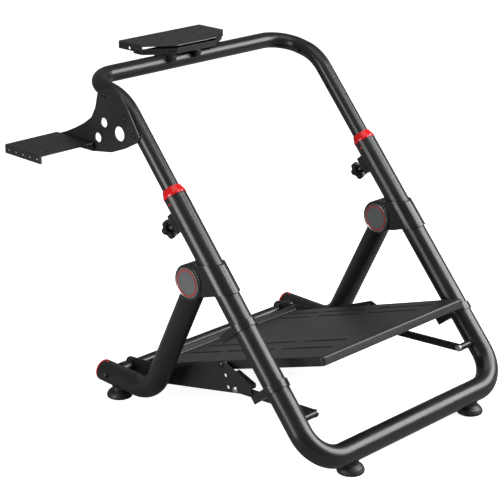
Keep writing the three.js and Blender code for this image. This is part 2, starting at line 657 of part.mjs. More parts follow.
// Drawn level with its front edge at y = 0 and its top at z = 0, then turned onto its slope
function pedalPlate() {
  const lip = 19.5;
  const top = new THREE.Shape([[-1, 0], [1, 0], [1, -PLATE_LENGTH], [-1, -PLATE_LENGTH]]
    .map(([side, y]) => new THREE.Vector2(side * PLATE_HALF, y)));
  for (const [x, slots] of PEDAL_SLOTS) {
    for (const [near, far] of slots) top.holes.push(slotPath(x, near, far));
  }
  const sheet = new THREE.ExtrudeGeometry(top, { depth: SHEET, bevelEnabled: false, curveSegments: 2 });
  sheet.translate(0, 0, -SHEET);
  const pan = join(
    solid(sheet),
    box([-PLATE_HALF, -PLATE_LENGTH, -lip], [-PLATE_HALF + SHEET, 0, 0]),
    box([PLATE_HALF - SHEET, -PLATE_LENGTH, -lip], [PLATE_HALF, 0, 0]),
    box([-PLATE_HALF, -SHEET, -lip], [PLATE_HALF, 0, 0]),
    box([-PLATE_HALF, -PLATE_LENGTH, -SHEET], [PLATE_HALF, -PLATE_LENGTH + SHEET, 13]),
  );
  const slope = THREE.MathUtils.radToDeg(PLATE_SLOPE);
  const placed = pan.rotate([slope, 0, 0]).translate([0, PLATE_FRONT.y, PLATE_FRONT.z]);
  place('pedal_plate', cut(placed, rodX(-260, 260, TILT, BOLT_HOLE, 8)), BLACK_PAINT);
}

// A strut turns on its elbow bolt and carries the head of the pin at its other end
function strut(side, name) {
  const outer = SIDE_PLATE_X - GAP;
  const inner = outer - STRUT_T;
  const along = Math.atan2(PIN.z - ELBOW.z, PIN.y - ELBOW.y);
  const outline = new THREE.Shape();
  outline.absarc(ELBOW.y, ELBOW.z, 8.7, along + Math.PI / 2, along + 3 * Math.PI / 2, false);
  outline.absarc(PIN.y, PIN.z, 8.7, along - Math.PI / 2, along + Math.PI / 2, false);
  const hole = rodX(side * 200, side * 260, ELBOW, BOLT_HOLE, 8);
  const flat = cut(sheetX(outline, side * inner, side * outer), hole);
  const head = rodX(side * (inner - 3.7), side * (inner + 0.1), PIN, 8.5, 16);
  place(`strut_${name}`, join(flat, head), BLACK_PAINT);
  const tube = rod(onUpright(side, 28), onUpright(side, 180), LOWER_R + GAP, 28);
  const spacer = cut(rodX(side * SIDE_PLATE_X, side * (LEG_X - LOWER_R - 1.8), PIN, 8, 16), tube);
  const shank = rodX(side * (SIDE_PLATE_X + 1), side * (LEG_X - 20), PIN, 5, 16);
  place(`strut_pin_${name}`, join(spacer, shank), BLACK_STEEL);
}

function pedalDeck() {
  for (const [side, name] of SIDES) {
    pedalSidePlate(side, name);
    pedalBolts(side, name);
    strut(side, name);
  }
  pedalPlate();
}

lowerFrame();
for (const [side, name] of SIDES) {
  collar(side, name);
  knobBoss(side, name);
  clampKnob(side, name);
  hingeBracket(side, name);
  hingeAxle(side, name);
  storageClip(side, LOW_CLIP_S, `low_${name}`);
  clipScrew(side, name);
}
storageClip(1, HIGH_CLIP_S, 'high_right');
frontFeet();
upperFrame();
shifterMount();
deckBracket();
wheelDeck();
legs();
pedalDeck();

// The origin is the bottom centre of the bounding box
const extent = new THREE.Box3().setFromObject(stand);
const middle = extent.getCenter(vec());
stand.position.set(-middle.x, -middle.y, -extent.min.z);
stand.updateMatrixWorld(true);

export default stand;
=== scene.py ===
# Looks of the folding racing wheel stand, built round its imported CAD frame.
import bmesh
import bpy
import json
import math
from mathutils import Matrix, Quaternion, Vector


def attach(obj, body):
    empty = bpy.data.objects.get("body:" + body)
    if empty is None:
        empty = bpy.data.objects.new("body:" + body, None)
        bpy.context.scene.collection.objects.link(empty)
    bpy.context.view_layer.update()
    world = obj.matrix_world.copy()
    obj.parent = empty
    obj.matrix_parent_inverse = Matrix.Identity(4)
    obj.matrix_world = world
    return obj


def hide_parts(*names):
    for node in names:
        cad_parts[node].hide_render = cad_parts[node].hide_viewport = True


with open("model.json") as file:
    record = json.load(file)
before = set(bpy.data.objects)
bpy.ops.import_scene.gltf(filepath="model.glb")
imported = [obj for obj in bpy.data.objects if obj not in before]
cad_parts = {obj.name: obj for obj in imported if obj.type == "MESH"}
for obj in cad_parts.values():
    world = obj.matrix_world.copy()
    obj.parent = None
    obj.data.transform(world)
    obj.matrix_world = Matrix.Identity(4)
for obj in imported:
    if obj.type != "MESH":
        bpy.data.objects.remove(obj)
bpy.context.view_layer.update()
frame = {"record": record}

# Driving dimensions, in metres. Shapes are drawn in the stand's own frame: x = 0 is the middle,
# y = 0 the front bar's axis and z = 0 the floor. ORIGIN takes them to the row frame.
TUBE_LOW, TUBE_HIGH = 0.025, 0.0185
WALL = 0.0025
SHEET = 0.003
GAP = 0.0003
LEG_X = 0.299
BAR_Z = 0.0477
FOOT_R = 0.0295
RAKE = math.radians(41.09)
LEG_RAKE = math.radians(26.56)
UP = Vector((0, -math.sin(RAKE), math.cos(RAKE)))
BACK = Vector((0, -math.cos(RAKE), -math.sin(RAKE)))
X = Vector((1, 0, 0))
SIDES = ((1, "right"), (-1, "left"))
BOLT_R, BOLT_BORE = 0.004, 0.0043
HINGE_BORE, SCREW_BORE = 0.0042, 0.003
FAR = 0.2
BEND_STEP = math.radians(3)
MOTTLE_LOW, MOTTLE_HIGH = 0.3, 0.7

BEHAVIOUR = frame["record"]["behaviour"]
JOINTS_AT = {joint["name"]: Vector(joint["pos_m"]) for joint in BEHAVIOUR["joints"]}
ORIGIN = JOINTS_AT["leg_fold"] - Vector((0, -0.3468, 0.3575))
BODY_OF = {node: body for body, nodes in BEHAVIOUR["bodies"].items() for node in nodes}
JOINTS = {name: place - ORIGIN for name, place in JOINTS_AT.items()}
HUB = JOINTS["leg_fold"]
CROSS = JOINTS["pedal_frame_fold"]
ELBOW = JOINTS["strut_fold"]
PIN = Vector((0, -0.0665, 0.1225))
TILT = JOINTS["pedal_tilt"]
DECK_HINGE = JOINTS["deck_tilt"]


def on_upright(side, s, n=0.0):
    return Vector((side * LEG_X, 0, BAR_Z)) + UP * s + BACK * n


def at(side_x, place):
    return Vector((side_x, place[-2], place[-1]))


# ---------------------------------------------------------------- mesh kit

def to_object(name, bm):
    """A linked and shaded object from a bmesh."""
    bmesh.ops.remove_doubles(bm, verts=bm.verts, dist=1e-7)
    bmesh.ops.recalc_face_normals(bm, faces=bm.faces)
    mesh = bpy.data.meshes.new(name)
    bm.to_mesh(mesh)
    bm.free()
    obj = bpy.data.objects.new(name, mesh)
    bpy.context.scene.collection.objects.link(obj)
    shade(mesh)
    return obj


def shade(mesh, sharp=32):
    """Smooth but for the edges sharper than that many degrees."""
    mesh.polygons.foreach_set("use_smooth", [True] * len(mesh.polygons))
    mesh.set_sharp_from_angle(angle=math.radians(sharp))


def bake_modifiers(obj):
    graph = bpy.context.evaluated_depsgraph_get()
    mesh = bpy.data.meshes.new_from_object(obj.evaluated_get(graph))
    obj.modifiers.clear()
    old = obj.data
    obj.data = mesh
    mesh.name = obj.name
    bpy.data.meshes.remove(old)


def joined(bms):
    """One bmesh holding all of these."""
    whole = bmesh.new()
    for bm in bms:
        part = bpy.data.meshes.new("part")
        bm.to_mesh(part)
        bm.free()
        whole.from_mesh(part)
        bpy.data.meshes.remove(part)
    return whole


def as_bmesh(obj):
    """The object's mesh alone, its object removed."""
    bm = bmesh.new()
    bm.from_mesh(obj.data)
    bpy.data.meshes.remove(obj.data)
    return bm


def boolean(obj, tool_bm, operation="DIFFERENCE"):
    tool = to_object("tool", tool_bm)
    modifier = obj.modifiers.new("cut", "BOOLEAN")
    modifier.operation = operation
    modifier.solver = "EXACT"
    modifier.object = tool
    bake_modifiers(obj)
    mesh = tool.data
    bpy.data.objects.remove(tool)
    bpy.data.meshes.remove(mesh)
    shade(obj.data)


def soften(obj, width):
    """Rounds the sharp edges."""
    modifier = obj.modifiers.new("soften", "BEVEL")
    modifier.width = width
    modifier.segments = 2
    modifier.limit_method = "ANGLE"
    modifier.angle_limit = math.radians(35)
    modifier.harden_normals = False
    bake_modifiers(obj)
    shade(obj.data, 40)


def bend_stations(corners, radii):
    """Points and directions along a polyline whose corners are arcs."""
    corners = [Vector(c) for c in corners]
    stations = [(corners[0], (corners[1] - corners[0]).normalized())]
    for before, corner, after, radius in zip(corners, corners[1:], corners[2:], radii):
        into, out = (corner - before).normalized(), (after - corner).normalized()
        angle = into.angle(out)
        axis = into.cross(out).normalized()
        start = corner - into * radius * math.tan(angle / 2)
        centre = start + axis.cross(into) * radius
        count = math.ceil(angle / BEND_STEP)
        for k in range(count + 1):
            turn = Quaternion(axis, angle * k / count)
            stations.append((centre + turn @ (start - centre), turn @ into))
    stations.append((corners[-1], (corners[-1] - corners[-2]).normalized()))
    return stations


def ring(bm, centre, direction, side, radius, count):
    other = direction.cross(side).normalized()
    turns = (2 * math.pi * k / count for k in range(count))
    return [bm.verts.new(centre + (side * math.cos(t) + other * math.sin(t)) * radius) for t in turns]


def bridge(bm, ring_a, ring_b):
    count = len(ring_a)
    for k in range(count):
        bm.faces.new((ring_a[k], ring_a[(k + 1) % count], ring_b[(k + 1) % count], ring_b[k]))


def tube(corners, radii, outer, inner=0.0, count=64, lip=0.0006):
    """A bent tube with rounded ends, or a solid bar where inner is 0."""
    bm = bmesh.new()
    stations = bend_stations(corners, radii)
    first, last = stations[0], stations[-1]
    rows = [(first[0], first[1], outer - lip), (first[0] + first[1] * lip, first[1], outer)]
    rows += [(p, d, outer) for p, d in stations[1:-1]]
    rows += [(last[0] - last[1] * lip, last[1], outer), (last[0], last[1], outer - lip)]
    if inner:
        rows += [(last[0], last[1], inner)]
        rows += [(p, d, inner) for p, d in reversed(stations[1:-1])]
        rows += [(first[0], first[1], inner)]
    side = X if abs(rows[0][1].x) < 0.9 else Vector((0, 0, 1))
    side = (side - rows[0][1] * side.dot(rows[0][1])).normalized()
    previous, rings = rows[0][1], []
    for centre, direction, radius in rows:
        side = previous.rotation_difference(direction) @ side
        previous = direction
        rings.append(ring(bm, centre, direction, side, radius, count))
    for ring_a, ring_b in zip(rings, rings[1:]):
        bridge(bm, ring_a, ring_b)
    if inner:
        bridge(bm, rings[-1], rings[0])
    else:
        bm.faces.new(rings[0])
        bm.faces.new(rings[-1])
    return bm


def rounded(points, radius, steps=4, closed=False):
    """A 2-D outline with its corners rounded. A point may carry its own radius as a third number."""
    result = []
    count = len(points)
    for i, point in enumerate(points):
        here = Vector(point[:2])
        size = point[2] if len(point) > 2 else radius
        ends = not closed and i in (0, count - 1)
        before, after = Vector(points[i - 1][:2]), Vector(points[(i + 1) % count][:2])
        into, out = here - before, after - here
        if ends or size == 0 or into.length < 1e-9 or out.length < 1e-9:
            result.append(here)
            continue
        angle = into.angle(out)
        reach = min(size * math.tan(angle / 2), into.length * 0.49, out.length * 0.49)
        start, end = here - into.normalized() * reach, here + out.normalized() * reach
        for k in range(steps + 1):
            t = k / steps
            result.append(start * (1 - t) ** 2 + here * 2 * t * (1 - t) + end * t * t)
    return result


def turned(start, direction, profile, count=64, edge=0.0006):
    """A turned piece: profile points are (radius, height), from the axis to the axis or closed."""
    bm = bmesh.new()
    direction = Vector(direction).normalized()
    helper = X if abs(direction.x) < 0.9 else Vector((0, 0, 1))
    side = (helper - direction * helper.dot(direction)).normalized()
    closed = profile[0][0] > 0
    points = rounded(profile, edge, closed=closed)
    rings = []
    for radius, height in points:
        centre = Vector(start) + direction * height
        if radius < 1e-6:
            rings.append([bm.verts.new(centre)])
        else:
            rings.append(ring(bm, centre, direction, side, radius, count))
    pairs = list(zip(rings, rings[1:])) + ([(rings[-1], rings[0])] if closed else [])
    for ring_a, ring_b in pairs:
        if len(ring_a) == 1 or len(ring_b) == 1:
            tip, rim = (ring_a, ring_b) if len(ring_a) == 1 else (ring_b, ring_a)
            for k in range(count):
                if len(rim) > 1:
                    bm.faces.new((tip[0], rim[k], rim[(k + 1) % count]))
        else:
            bridge(bm, ring_a, ring_b)
    return bm


def rod(start, end, radius, count=48, edge=0.0004):
    start, end = Vector(start), Vector(end)
    length = (end - start).length
    return turned(start, end - start, [(0, 0), (radius, 0), (radius, length), (0, length)], count, edge)


def hexagon(start, direction, across, length):
    """A hexagonal bolt head or nut with its face corners turned off."""
    radius = across / math.sqrt(3)
    bm = bmesh.new()
    direction = Vector(direction).normalized()
    helper = Vector((0, 0, 1)) if abs(direction.z) < 0.9 else X
    side = (helper - direction * helper.dot(direction)).normalized()
    start = Vector(start)
    rows = ((0, 0.9), (0.08, 1), (0.86, 1), (1, 0.88))
    rings = [ring(bm, start + direction * length * h, direction, side, radius * r, 6) for h, r in rows]
    for ring_a, ring_b in zip(rings, rings[1:]):
        bridge(bm, ring_a, ring_b)
    bm.faces.new(rings[0])
    bm.faces.new(rings[-1])
    return bm


def arc(centre, radius, start, end, steps=12):
    """Points on an arc, its angles in degrees."""
    turns = (math.radians(start + (end - start) * k / steps) for k in range(steps + 1))
    return [(centre[0] + radius * math.cos(t), centre[1] + radius * math.sin(t)) for t in turns]


def sheet_metal(name, outline, holes, thickness, place, edge=0.0004):
    """A plate cut from sheet: its outline and holes are loops of 2-D points, place its matrix."""
    curve = bpy.data.curves.new(name, "CURVE")
    curve.dimensions = "2D"
    curve.fill_mode = "BOTH"
    curve.extrude = thickness / 2 - edge
    curve.bevel_depth = edge
    curve.bevel_resolution = 2
    curve.offset = -edge
    for loop in (outline, *holes):
        spline = curve.splines.new("POLY")
        spline.points.add(len(loop) - 1)
        for point, (u, v) in zip(spline.points, loop):
            point.co = (u, v, 0, 1)
        spline.use_cyclic_u = True
    obj = bpy.data.objects.new(name, curve)
    bpy.context.scene.collection.objects.link(obj)
    graph = bpy.context.evaluated_depsgraph_get()
    mesh = bpy.data.meshes.new_from_object(obj.evaluated_get(graph))
    bpy.data.objects.remove(obj)
    bpy.data.curves.remove(curve)
    bm = bmesh.new()
    bm.from_mesh(mesh)
    bpy.data.meshes.remove(mesh)
    bm.transform(place)
    return bm


YZ = Matrix(((0, 0, 1, 0), (1, 0, 0, 0), (0, 1, 0, 0), (0, 0, 0, 1)))


def side_sheet(name, outline, holes, x, thickness=SHEET):
    """Sheet metal drawn in the YZ plane, with its middle plane at x."""
    return sheet_metal(name, outline, holes, thickness, Matrix.Translation((x, 0, 0)) @ YZ)


def block(low, high):
    bm = bmesh.new()
    bmesh.ops.create_cube(bm, size=1)
    size = [b - a for a, b in zip(low, high)]
    middle = [(a + b) / 2 for a, b in zip(low, high)]
    bm.transform(Matrix.Translation(middle) @ Matrix.Diagonal((*size, 1)))
    return bm


def circle(centre, radius, steps=28):
    return arc(centre, radius, 0, 360 - 360 / steps, steps - 1)


def piece(obj, material, slot, *nodes):
    """Puts a finished object in the row frame, in place of its CAD nodes and on their body."""
    modifier = obj.modifiers.new("flat faces", "WEIGHTED_NORMAL")
    modifier.keep_sharp = True
    bake_modifiers(obj)
    obj.data.transform(Matrix.Translation(ORIGIN))
    obj.data.materials.clear()
    obj.data.materials.append(material)
    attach(obj, BODY_OF[nodes[0]])
    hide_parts(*nodes)


# ---------------------------------------------------------------- materials

def material(name):
    made = bpy.data.materials.new(name)
    made.use_nodes = True
    nodes, links = made.node_tree.nodes, made.node_tree.links
    shader = nodes["Principled BSDF"]
    coords = nodes.new("ShaderNodeTexCoord").outputs["Object"]
    return made, nodes, links, shader, coords


def noise(nodes, links, coords, scale, detail):
    node = nodes.new("ShaderNodeTexNoise")
    node.inputs["Scale"].default_value = scale
    node.inputs["Detail"].default_value = detail
    node.inputs["Roughness"].default_value = 0.55
    links.new(coords, node.inputs["Vector"])
    return node.outputs["Fac"]


def ramp(nodes, links, value, low, high):
    node = nodes.new("ShaderNodeValToRGB")
    stops = zip(node.color_ramp.elements, (MOTTLE_LOW, MOTTLE_HIGH), (low, high))
    for stop, position, colour in stops:
        stop.position = position
        stop.color = (*colour, 1)
    links.new(value, node.inputs["Fac"])
    return node.outputs["Color"]


def spread(nodes, links, value, low, high):
    node = nodes.new("ShaderNodeMapRange")
    node.inputs["From Min"].default_value = MOTTLE_LOW
    node.inputs["From Max"].default_value = MOTTLE_HIGH
    node.inputs["To Min"].default_value = low
    node.inputs["To Max"].default_value = high
    links.new(value, node.inputs["Value"])
    return node.outputs["Result"]


def bump(nodes, links, shader, height, distance):
    node = nodes.new("ShaderNodeBump")
    node.inputs["Distance"].default_value = distance
    node.inputs["Strength"].default_value = 1.0
    links.new(height, node.inputs["Height"])
    links.new(node.outputs["Normal"], shader.inputs["Normal"])


def coated(name, low, high, rough, grain, depth, metallic=0.0):
    """Paint or plastic: mottled colour, uneven roughness and a fine grain."""
    made, nodes, links, shader, coords = material(name)
    patches = noise(nodes, links, coords, 14, 4)
    fine = noise(nodes, links, coords, grain, 2)
    links.new(ramp(nodes, links, patches, low, high), shader.inputs["Base Color"])
    links.new(spread(nodes, links, patches, *rough), shader.inputs["Roughness"])
    shader.inputs["Metallic"].default_value = metallic
    shader.inputs["Specular IOR Level"].default_value = 0.5
    bump(nodes, links, shader, fine, depth)
    return made


def materials():
    return {
        "paint": coated("satin_black_powder_coat", (0.008, 0.0082, 0.0085), (0.012, 0.0122, 0.0125),
                        (0.27, 0.33), 1500, 0.00003),
        "sheet": coated("textured_black_sheet", (0.012, 0.012, 0.0122), (0.017, 0.017, 0.017),
                        (0.36, 0.44), 900, 0.00006),
        "shell": coated("moulded_black_shell", (0.010, 0.010, 0.0103), (0.015, 0.015, 0.0152),
                        (0.2, 0.28), 2200, 0.00002),
        "plastic": coated("black_plastic", (0.008, 0.008, 0.0082), (0.013, 0.013, 0.0132),
                          (0.26, 0.36), 1800, 0.00004),
        "red": coated("glossy_red_plastic", (0.62, 0.004, 0.006), (0.72, 0.008, 0.01),
                      (0.14, 0.2), 700, 0.00001),
        "ring": coated("dull_red_ring", (0.55, 0.015, 0.015), (0.65, 0.02, 0.02), (0.3, 0.4), 900, 0.00002),
        "cap": coated("satin_grey_cap", (0.10, 0.102, 0.105), (0.15, 0.152, 0.155),
                      (0.34, 0.42), 2400, 0.00004),
        "rim": coated("bright_rim", (0.4, 0.41, 0.42), (0.5, 0.5, 0.51), (0.22, 0.3), 1800, 0.00001, 1.0),
        "zinc": coated("zinc_plate", (0.55, 0.56, 0.55), (0.7, 0.71, 0.7), (0.24, 0.36), 900, 0.00003, 1.0),
        "steel": coated("black_oxide_steel", (0.03, 0.03, 0.032), (0.05, 0.05, 0.052),
                        (0.22, 0.32), 1400, 0.00003, 0.6),
        "rubber": coated("black_rubber", (0.006, 0.006, 0.006), (0.011, 0.011, 0.011),
                         (0.4, 0.55), 900, 0.00006),
    }


LOOK = materials()


# ---------------------------------------------------------------- lower frame

LOWER_TOP = 0.631
SNAP_S, KNOB_S, LOW_CLIP_S, HIGH_CLIP_S = 0.6165, 0.585, 0.180, 0.322
CLIP_WIDTH = 0.017


def lower_frame():
    corners = [on_upright(1, LOWER_TOP), on_upright(1, 0), on_upright(-1, 0), on_upright(-1, LOWER_TOP)]
    obj = to_object("lower_frame", tube(corners, [0.075, 0.075], TUBE_LOW, TUBE_LOW - WALL, 72))
    piece(obj, LOOK["paint"], "black_paint", "lower_frame_tube")


def collar(side, name):
    """A red cone on the tube's mouth, with the two snaps that hold it."""
    start = on_upright(side, LOWER_TOP - 0.026)
    sleeve, bore, lip = TUBE_LOW - WALL - GAP, TUBE_HIGH + GAP, TUBE_LOW + 0.0006
    profile = [(bore, 0), (sleeve, 0), (sleeve, 0.0263), (lip, 0.0263), (lip, 0.031),
               (TUBE_HIGH + 0.0022, 0.0455), (bore, 0.0458)]
    parts = [turned(start, UP, profile, 72, 0.0008)]
    snap = [(0, 0), (0.0027, 0), (0.0027, 0.0045, 0.001), (0, 0.0052)]
    for out in (1, -1):
        button = on_upright(side, SNAP_S) + X * out * (TUBE_LOW - 0.004)
        parts.append(turned(button, X * out, snap, 24))
    obj = to_object(f"red_collar_{name}", joined(parts))
    piece(obj, LOOK["red"], "red_plastic", f"collar_{name}")


def knob_boss(side, name):
    """The block behind the upright that the knob's screw runs through."""
    half, near, far = 0.021, TUBE_LOW - 0.006, TUBE_LOW + 0.0125
    outline = rounded([(-half, near, 0), (half, near, 0), (half, far), (-half, far)], 0.004, closed=True)
    place = Matrix.Translation(on_upright(side, KNOB_S)) @ Matrix((
        (0, 0, 1, 0), (UP.y, BACK.y, 0, 0), (UP.z, BACK.z, 0, 0), (0, 0, 0, 1)))
    obj = to_object(f"clamp_block_{name}", sheet_metal("block", outline, [], 0.030, place, 0.001))
    boolean(obj, rod(on_upright(side, KNOB_S - 0.04), on_upright(side, KNOB_S + 0.04), TUBE_LOW + GAP, 96))
    piece(obj, LOOK["plastic"], "black_plastic", f"knob_boss_{name}")


def clamp_knob(side, name):
    """A five-lobed knob on a neck, with its screw."""
    lobes, lobe_out, lobe_r, thickness = 5, 0.0135, 0.008, 0.0155
    start = on_upright(side, KNOB_S, 0.0385)
    head = on_upright(side, KNOB_S, 0.0535)
    outline = []
    for i in range(lobes):
        angle = 360 / lobes * i
        turn = math.radians(angle)
        middle = (lobe_out * math.cos(turn), lobe_out * math.sin(turn))
        outline += arc(middle, lobe_r, angle - 78, angle + 78, 14)
    outline = rounded(outline, 0.002, 2, True)
    place = Matrix.Translation(head + BACK * 0.0075) @ Matrix((
        (1, 0, 0, 0), (0, UP.y, BACK.y, 0), (0, UP.z, BACK.z, 0), (0, 0, 0, 1)))
    knob = to_object(f"star_knob_{name}", sheet_metal("lobes", outline, [], thickness, place, 0.0022))
    neck = [(0, 0), (0.0085, 0), (0.008, 0.006), (0.011, 0.0165), (0, 0.0165)]
    boolean(knob, turned(start, BACK, neck, 48), "UNION")
    shade(knob.data, 28)
    piece(knob, LOOK["plastic"], "black_plastic", f"clamp_knob_{name}")
    shank = rod(on_upright(side, KNOB_S, 0.0188), on_upright(side, KNOB_S, 0.05), BOLT_R, 32)
    piece(to_object(f"knob_screw_{name}", shank), LOOK["zinc"], "zinc", f"clamp_screw_{name}")


# ---------------------------------------------------------------- hinge brackets

HUB_R, HUB_HALF = 0.0395, 0.032
AXLE_R = 0.006
SLEEVE_R = TUBE_LOW + 0.004
SLEEVE_ENDS = (0.30, 0.52)
CAP_RIM = [(0.0322, 0), (0.034, 0), (0.034, 0.0010), (0.0332, 0.0019), (0.0322, 0.0014)]
CAP_DISC = [(0, 0), (0.0320, 0), (0.0320, 0.0010), (0.0270, 0.0010), (0.0267, 0.0019),
            (0.0235, 0.0021), (0, 0.0021)]
CAP_RING = [(0.0272, 0), (0.0294, 0), (0.0294, 0.0009), (0.0272, 0.0009)]


def bracket_outline():
    """The bracket seen from the side: round the hub, and forward to the sleeve."""
    hub = arc((HUB.y, HUB.z), HUB_R, 325, 80, 40)
    top = [(-0.308, 0.4048), (-0.289, 0.4080), (-0.225, 0.4070)]
    return [(-0.225, 0.3610), (-0.2416, 0.3566), (-0.300, 0.3367)] + hub + top


def fan_outline():
    """The room that the leg's round top sweeps inside the bracket."""
    pocket, reach = TUBE_LOW + 0.001, 0.15
    opened, folded = -90 - math.degrees(LEG_RAKE), -90 + math.degrees(RAKE)
    points = arc((HUB.y, HUB.z), pocket, folded + 90, opened + 270, 30)
    for angle, across in ((opened, -pocket), (folded, pocket)):
        turn = math.radians(angle)
        points.append((HUB.y + reach * math.cos(turn) - across * math.sin(turn),
                       HUB.z + reach * math.sin(turn) + across * math.cos(turn)))
    return points


def hinge_bracket(side, name):
    """The web is cut to a sleeve round the upright, then joined to the hub and hollowed for the leg."""
    x = side * LEG_X
    low, high = SLEEVE_ENDS
    obj = to_object(f"hinge_shell_{name}", side_sheet("web", bracket_outline(), [], x, 2 * SLEEVE_R))
    outer = to_object("outer", rod(on_upright(side, low), on_upright(side, high), SLEEVE_R, 96))
    quad = [on_upright(side, s, n) for s, n in ((low, 0), (high, 0), (high, 0.15), (low, 0.15))]
    boolean(outer, side_sheet("behind", [(p.y, p.z) for p in quad], [], x, 2 * SLEEVE_R + 0.0001), "UNION")
    boolean(obj, as_bmesh(outer), "INTERSECT")
    profile = [(0, 0), (HUB_R, 0, 0.003), (HUB_R, 2 * HUB_HALF, 0.003), (0, 2 * HUB_HALF)]
    boolean(obj, turned(at(x - HUB_HALF, HUB), X, profile, 96), "UNION")
    boolean(obj, rod(on_upright(side, low - 0.02), on_upright(side, high + 0.02), TUBE_LOW + GAP, 96))
    boolean(obj, side_sheet("slot", fan_outline(), [], x, 2 * (TUBE_LOW + 0.0008)))
    soften(obj, 0.0007)
    piece(obj, LOOK["shell"], "black_paint", f"hinge_bracket_{name}")


def hinge_caps(side, name):
    """The axle with a grey cap, a bright rim and a red ring at each end."""
    x = side * LEG_X
    caps = [rod(at(x - HUB_HALF - GAP, HUB), at(x + HUB_HALF + GAP, HUB), AXLE_R)]
    rims = []
    for out, where in ((side, "outer"), (-side, "inner")):
        face = at(x + out * (HUB_HALF + GAP), HUB)
        rims.append(turned(face, X * out, CAP_RIM, 96, 0.0002))
        caps.append(turned(face, X * out, CAP_DISC, 96, 0.0003))
        band = turned(face + X * out * 0.0011, X * out, CAP_RING, 96, 0.0004)
        band = to_object(f"red_ring_{name}_{where}", band)
        piece(band, LOOK["ring"], "red_plastic", f"hinge_ring_{name}_{where}")
    piece(to_object(f"hinge_cap_{name}", joined(caps)), LOOK["cap"], "grey_cap", f"hinge_axle_{name}")
    piece(to_object(f"hinge_rim_{name}", joined(rims)), LOOK["rim"], "grey_cap", f"hinge_axle_{name}")


# ---------------------------------------------------------------- storage clips and feet

def upright_plane(side, s):
    """Drawn across the upright at s: u along X, v along BACK, thickness along the tube."""
    return Matrix.Translation(on_upright(side, s)) @ Matrix((
        (1, 0, 0, 0), (0, BACK.y, UP.y, 0), (0, BACK.z, UP.z, 0), (0, 0, 0, 1)))


def storage_clip(side, s, name):
    """A band round the upright and two jaws that hold the folded leg between them."""
    band, jaw, mouth, tip, folded_leg = 0.0284, 0.0293, 0.0261, 0.052, 0.0579
    outline = arc((0, 0), band, 0, -180, 32)
    outline += [(-jaw, 0.012), (-jaw, tip - 0.003), (-jaw + 0.0012, tip), (-mouth, tip)]
    outline += arc((0, folded_leg), mouth, 194, 346, 20)
    outline += [(mouth, tip), (jaw - 0.0012, tip), (jaw, tip - 0.003), (jaw, 0.012)]
    hole = circle((0, 0), TUBE_LOW + GAP, 72)
    clip = sheet_metal("clip", outline, [hole], CLIP_WIDTH, upright_plane(side, s), 0.0007)
    piece(to_object(f"leg_clip_{name}", clip), LOOK["shell"], "black_plastic", f"storage_clip_{name}")


def bumper_screw(side, name):
    s = LOW_CLIP_S + CLIP_WIDTH
    washer = [(0, 0), (0.008, 0), (0.008, 0.0014), (0, 0.0018)]
    parts = [turned(on_upright(side, s, TUBE_LOW + GAP), BACK, washer, 48),
             hexagon(on_upright(side, s, TUBE_LOW + 0.0017), BACK, 0.0078, 0.0033)]
    piece(to_object(f"clip_screw_{name}", joined(parts)), LOOK["zinc"], "zinc", f"bumper_screw_{name}")


def foot(name, node, x, y, along):
    """A domed rubber foot with a saddle for the tube."""
    profile = [(0, 0), (0.0265, 0), (0.0287, 0.0012), (FOOT_R, 0.0032), (FOOT_R, 0.0062, 0.0015),
               (0.0281, 0.0088), (0.0262, 0.0122, 0.003), (0.0215, 0.0164, 0.004),
               (0.0172, 0.0194, 0.003), (0.0163, 0.029), (0, 0.029)]
    obj = to_object(name, turned((x, y, 0), (0, 0, 1), profile, 72, 0.0008))
    centre = Vector((x, y, BAR_Z))
    boolean(obj, rod(centre - along * 0.048, centre + along * 0.048, TUBE_LOW + GAP, 96))
    piece(obj, LOOK["rubber"], "rubber", node)


# ---------------------------------------------------------------- upper frame

UPPER_END, SHOULDER = 0.380, 0.872
CROSSBAR = Vector((0, -0.690, 0.728))
SHIFTER_BOLTS = ((-0.612, 0.709), (-0.548, 0.668), (-0.520, 0.637))


def upper_frame():
    right = [on_upright(1, UPPER_END), on_upright(1, SHOULDER), at(LEG_X, CROSSBAR)]
    left = [Vector((-p.x, p.y, p.z)) for p in reversed(right)]
    bends = [0.110, 0.065, 0.065, 0.110]
    obj = to_object("upper_frame", tube(right + left, bends, TUBE_HIGH, TUBE_HIGH - 0.002, 64))
    holes = [rod(at(-LEG_X - 0.03, place), at(LEG_X + 0.03, place), 0.0036, 24) for place in SHIFTER_BOLTS]
    boolean(obj, joined(holes))
    piece(obj, LOOK["paint"], "black_paint", "upper_frame_tube")
    inner, outer, length = TUBE_HIGH + GAP, 0.0222, 0.025
    profile = [(inner, 0), (outer, 0), (outer, length), (inner, length)]
    for side, name in SIDES:
        bushing = turned(on_upright(side, UPPER_END + 0.005), UP, profile)
        bushing = to_object(f"guide_bushing_{name}", bushing)
        piece(bushing, LOOK["plastic"], "black_plastic", f"slide_bushing_{name}")


def bolt_parts(head_x, tip_x, place):
    """A bolt along X with a domed socket head, a washer and a nut at its far end."""
    shank, across, head, nut = 0.0033, 0.011, 0.0045, 0.005
    out = 1 if head_x > tip_x else -1
    start = at(head_x, place)
    dome = [(0, 0), (across * 0.62, 0), (across * 0.62, 0.0008), (across * 0.55, 0.0009),
            (across * 0.52, head * 0.6, 0.002), (across * 0.3, head, 0.001), (across * 0.2, head),
            (across * 0.2, head * 0.45), (0, head * 0.45)]
    return [turned(start, X * out, dome, 40, 0.0003),
            rod(at(tip_x - out * 0.004, place), start, shank, 32),
            hexagon(at(tip_x, place), X * -out, across, nut)]


